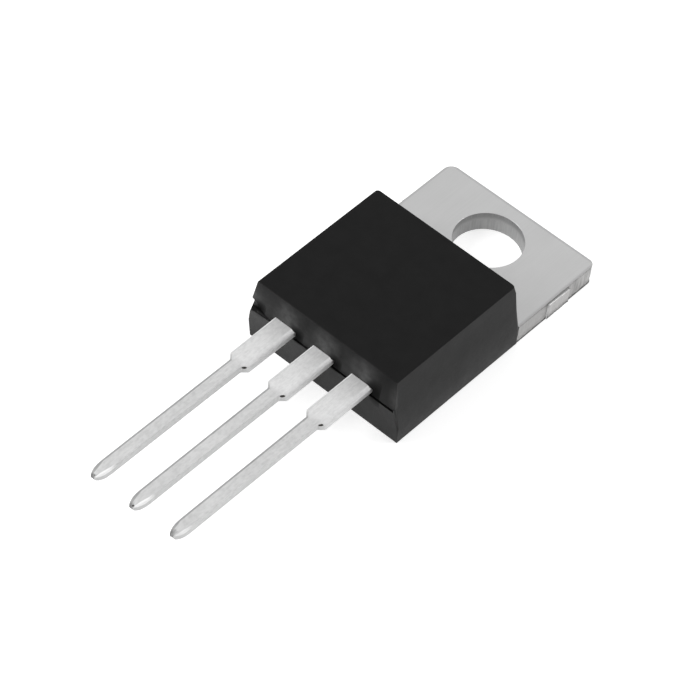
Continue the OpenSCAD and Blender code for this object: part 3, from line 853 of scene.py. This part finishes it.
upper_share = calc(tree, "DIVIDE", calc(tree, "SUBTRACT", g["Height"], up),
                   calc(tree, "SUBTRACT", g["Height"], g["Parting line"]))
lower_share = calc(tree, "DIVIDE", up, g["Parting line"])
lower_corner = calc(tree, "ADD", 0.02 * mm, calc(tree, "MULTIPLY", lower_share,
                                                 g["Lower corner radius"]))
upper_corner = calc(tree, "ADD", 0.005 * mm, calc(tree, "MULTIPLY", upper_share,
                                                  g["Upper corner radius"]))
front_corner = add(tree, "ShaderNodeMix",
                   {"Factor": upper, "A": lower_corner, "B": upper_corner},
                   data_type="FLOAT").outputs["Result"]
below_crown = calc(tree, "MAXIMUM", calc(tree, "SUBTRACT", crown_start, up), 0.0)
in_crown = calc(tree, "MAXIMUM", calc(tree, "SUBTRACT", up, crown_start), 0.0)
grown = calc(tree, "ADD", calc(tree, "MULTIPLY", in_crown, 0.3),
             calc(tree, "ADD", 0.05 * mm, calc(tree, "MULTIPLY", below_crown, 0.13)))
from_base = calc(tree, "ADD", 0.03 * mm, calc(tree, "MULTIPLY", up, 0.18))
back_corner = calc(tree, "MINIMUM", g["Back corner radius"],
                   calc(tree, "MINIMUM", grown, from_base))
across, depth = rounded_section(tree, spot, calc(tree, "MULTIPLY", half, -1), half, front, rear,
                                [back_corner, back_corner, front_corner, front_corner])
shaped = add(tree, "GeometryNodeSetPosition", {
    "Geometry": tube,
    "Position": add(tree, "ShaderNodeCombineXYZ", {0: across, 1: depth, 2: up}).outputs[0]})
joined = add(tree, "GeometryNodeMergeByDistance", {"Geometry": shaped.outputs[0],
                                                   "Distance": 0.0005 * mm})
realised = add(tree, "GeometryNodeRealizeInstances", {0: joined.outputs[0]})
coated = add(tree, "GeometryNodeSetMaterial", {"Geometry": realised.outputs[0],
                                               "Material": g["Epoxy"]})
tree.links.new(coated.outputs[0], out.inputs[0])
moulded_form = tree

moulding = new_piece("moulded_body", bmesh.new(), epoxy_finish, broken_finish)
run_tree(moulding, moulded_form, {
    "Width": body_width, "Height": body_height, "Front": body_front_y, "Back": body_back_y,
    "Widest at": widest_z, "Parting line": parting_z, "Draft": draft, "Base draft": base_draft,
    "Top edge radius": 0.02 * mm, "Base edge radius": 0.02 * mm,
    "Upper corner radius": 0.03 * mm, "Lower corner radius": 0.14 * mm,
    "Back corner radius": 0.26 * mm, "Epoxy": epoxy_finish})


def joined_rows(rows):
    """A closed shape through rows of points, each row a loop with as many points."""
    shape = bmesh.new()
    loops = [[shape.verts.new(point) for point in row] for row in rows]
    count = len(loops[0])
    for a, b in zip(loops, loops[1:]):
        for i in range(count):
            j = (i + 1) % count
            shape.faces.new((a[i], a[j], b[j], b[i]))
    shape.faces.new(loops[0])
    shape.faces.new(loops[-1])
    bmesh.ops.recalc_face_normals(shape, faces=shape.faces)
    return shape


# The gate's notch: a ragged V along the parting line, widest at the corner. Each row gives, in
# millimetres, a place across, the upper lip's height, the bottom's place and height, and the
# lower lip's height
notch_rows = ((-5.3, 3.45, -12.58, 2.77, 2.15), (-4.842, 3.265, -12.63, 2.75, 2.27),
              (-4.73, 3.23, -12.66, 2.75, 2.3), (-4.63, 3.19, -12.677, 2.75, 2.33),
              (-4.52, 3.15, -12.68, 2.74, 2.38), (-4.42, 3.1, -12.687, 2.73, 2.4),
              (-4.29, 3.02, -12.7, 2.72, 2.44), (-4.16, 2.95, -12.715, 2.71, 2.48),
              (-4.04, 2.87, -12.77, 2.7, 2.52), (-3.92, 2.8, -12.824, 2.69, 2.56),
              (-3.735, 2.68, -12.9, 2.67, 2.55), (-3.54, 2.665, -12.95, 2.662, 2.54))
ragged = random.Random(5)
ragged_by = 0.016 * mm


def ragged_off(place):
    """A place moved a little to and fro."""
    return place + ragged.uniform(-ragged_by, ragged_by)


rows = []
for row in notch_rows:
    x, upper_z, deep_y, deep_z, lower_z = (size * mm for size in row)
    lip_y = body_front_y + 0.03 * mm + (upper_z - parting_z) * tan(draft)
    upper_y = ragged_off((lip_y + deep_y) / 2)
    lower_y = ragged_off((body_front_y + 0.2 * mm + deep_y) / 2)
    rows.append([
        (x, clear_y, upper_z + 0.08 * mm), (x, lip_y, ragged_off(upper_z)),
        (x, upper_y, ragged_off(upper_z * 0.6 + deep_z * 0.4)), (x, deep_y, deep_z),
        (x, lower_y, ragged_off(lower_z * 0.6 + deep_z * 0.4)),
        (x, min(body_front_y + 0.18 * mm, deep_y - 0.01 * mm), ragged_off(lower_z - 0.3 * mm)),
        (x, body_front_y + 0.04 * mm, ragged_off(lower_z)), (x, clear_y, lower_z - 0.05 * mm)])
gate = new_piece("gate_notch", joined_rows(rows), broken_finish)

# The groove where the mould's halves met, across the front under the parting line
groove_deep_y, groove_low_z = body_front_y + groove_size[0], parting_z - groove_size[1]
groove = new_piece("parting_groove", joined_rows([
    ((x, groove_deep_y, parting_z), (x, clear_y, parting_z),
     (x, clear_y, groove_low_z), (x, groove_deep_y, groove_low_z))
    for x in groove_ends]), broken_finish)

# The slit beside each lead, where the flash was knocked out with the bar
slit_shape = bmesh.new()
for number in (-1, 0, 1):
    slit = bmesh.ops.create_cube(slit_shape, size=mm)["verts"]
    bmesh.ops.scale(slit_shape, verts=slit, vec=slit_size)
    bmesh.ops.translate(slit_shape, verts=slit,
                        vec=Vector((number * lead_pitch, 0, 0)) + Vector(slit_place))
slits = new_piece("flash_slits", slit_shape, broken_finish)


def subtract(piece, cutters):
    """Cuts other pieces' shapes out of a piece."""
    for cutter in cutters:
        modifier = piece.modifiers.new("cut", "BOOLEAN")
        modifier.operation = "DIFFERENCE"
        modifier.solver = "MANIFOLD"
        modifier.object = cutter
    keep_result(piece)


inner_nodes = ("tab_solder", "ceramic_insulator", "pad_solder", "die_solder", "triac_chip",
               "mt1_solder", "gate_solder")
cores = [new_piece(node + "_core", merged_copy(node)) for node in inner_nodes]
subtract(moulding, [groove, gate, slits, tab] + leads + cores)
for cutter in cores + [groove, gate, slits]:
    bpy.data.objects.remove(cutter)

# The cuts bring in other pieces' materials: only the two of the body are kept
came_in = list(moulding.data.materials)
for face in moulding.data.polygons:
    face.material_index = 1 if came_in[face.material_index] == broken_finish else 0
while len(moulding.data.materials) > 2:
    moulding.data.materials.pop(index=len(moulding.data.materials) - 1)
smooth_faces(moulding)
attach(moulding, "root")
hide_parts("mould_body")


# ---- Table, light and camera ----
# A white table with the part lying on it, a soft lamp in front on the left and a smaller one
# behind on the right, even light all round, and a camera with a long lens.


def seen_directly(tree):
    """One where the camera looks, straight or in a reflection, and zero for other light."""
    path = tree.nodes.new("ShaderNodeLightPath")
    bounced = calc(tree, "MAXIMUM", path.outputs["Is Glossy Ray"],
                   path.outputs["Is Transmission Ray"])
    return calc(tree, "MAXIMUM", path.outputs["Is Camera Ray"], bounced)


floor_shape = bmesh.new()
bmesh.ops.create_grid(floor_shape, x_segments=1, y_segments=1, size=0.6)
bmesh.ops.translate(floor_shape, verts=floor_shape.verts, vec=(0, 0, -0.002 * mm))
floor_finish, tree, shader = new_finish("white_table", (0.8, 0.8, 0.8), 0.9, specular=0.0)
shader.inputs["Emission Color"].default_value = (1, 1, 1, 1)
glow = calc(tree, "MULTIPLY", seen_directly(tree), 0.6)
tree.links.new(glow, shader.inputs["Emission Strength"])
floor = new_piece("table", floor_shape, floor_finish)

world = bpy.data.worlds.new("even_light")
world.use_nodes = True
bpy.context.scene.world = world
tree = world.node_tree
background = tree.nodes["Background"]
tree.links.new(between(tree, seen_directly(tree), 0.58, 1.0, 0, 1), background.inputs["Strength"])
background.inputs["Color"].default_value = (1, 1, 1, 1)

lit_middle = Vector((0, -8, 1)) * mm
for name, place, watts, across in (("soft_lamp", (-120, -130, 130), 0.25, 0.12),
                                   ("edge_lamp", (146, 96, 73), 0.1, 0.08)):
    lamp_data = bpy.data.lights.new(name, "AREA")
    lamp_data.shape = "DISK"
    lamp_data.size = across
    lamp_data.energy = watts
    lamp = bpy.data.objects.new(name, lamp_data)
    bpy.context.scene.collection.objects.link(lamp)
    lamp.location = Vector(place) * mm
    facing = lit_middle - lamp.location
    lamp.rotation_euler = facing.to_track_quat("-Z", "Y").to_euler()

camera_data = bpy.data.cameras.new("camera")
camera_data.lens = 180
camera_data.sensor_width = 36
camera_data.clip_start = 0.01
camera = bpy.data.objects.new("camera", camera_data)
bpy.context.scene.collection.objects.link(camera)
bpy.context.scene.camera = camera
aim = Vector((0.1068, -10.8263, 1.5)) * mm
distance = 174.415 * mm
turn, height_angle, roll = radians(36.833), radians(49.386), radians(6.64)
picture_nudge = 0.0249 * mm
back = Matrix.Rotation(turn, 3, "Z") @ Matrix.Rotation(-height_angle, 3, "X") @ Vector((0, -1, 0))
level = (-back).cross(Vector((0, 0, 1))).normalized()
upright = level.cross(-back)
right = Matrix.Rotation(roll, 3, back) @ level
up = Matrix.Rotation(roll, 3, back) @ upright
place = aim + back * distance - right * picture_nudge + up * picture_nudge
facing = Matrix((right, up, back)).transposed().to_4x4()
camera.matrix_world = Matrix.Translation(place) @ facing

bpy.context.scene.view_settings.view_transform = "Standard"
